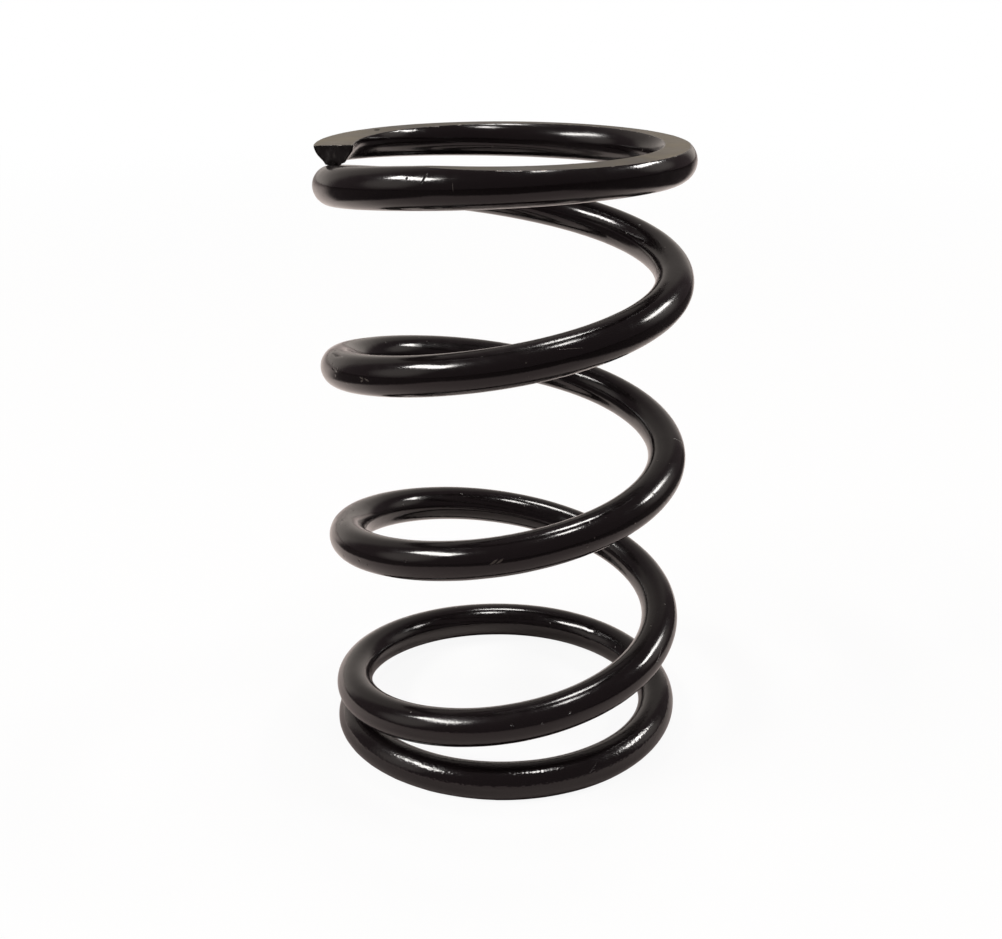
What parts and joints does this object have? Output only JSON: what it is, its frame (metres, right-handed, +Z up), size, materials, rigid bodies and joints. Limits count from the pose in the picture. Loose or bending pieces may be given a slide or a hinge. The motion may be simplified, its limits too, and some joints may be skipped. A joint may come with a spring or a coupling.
{
  "type": "compression spring",
  "caption": "Right-handed helical compression spring of round black wire, with closed ends ground flat, from a belt-drive clutch.",
  "frame": {"origin": "centre of the coil at the plane of the lower ground face", "axes": "+Z up the coil's axis, towards the end whose wire tip shows in the picture; -Y faces the picture's camera"},
  "size_m": [0.0586, 0.0586, 0.0975],
  "materials": {
    "black_paint": "gloss black baked paint on spring steel, thin and slightly orange-peeled, satin on the ground faces"
  },
  "bodies": {
    "root": {"clutch_spring": "black_paint"}
  },
  "joints": []
}
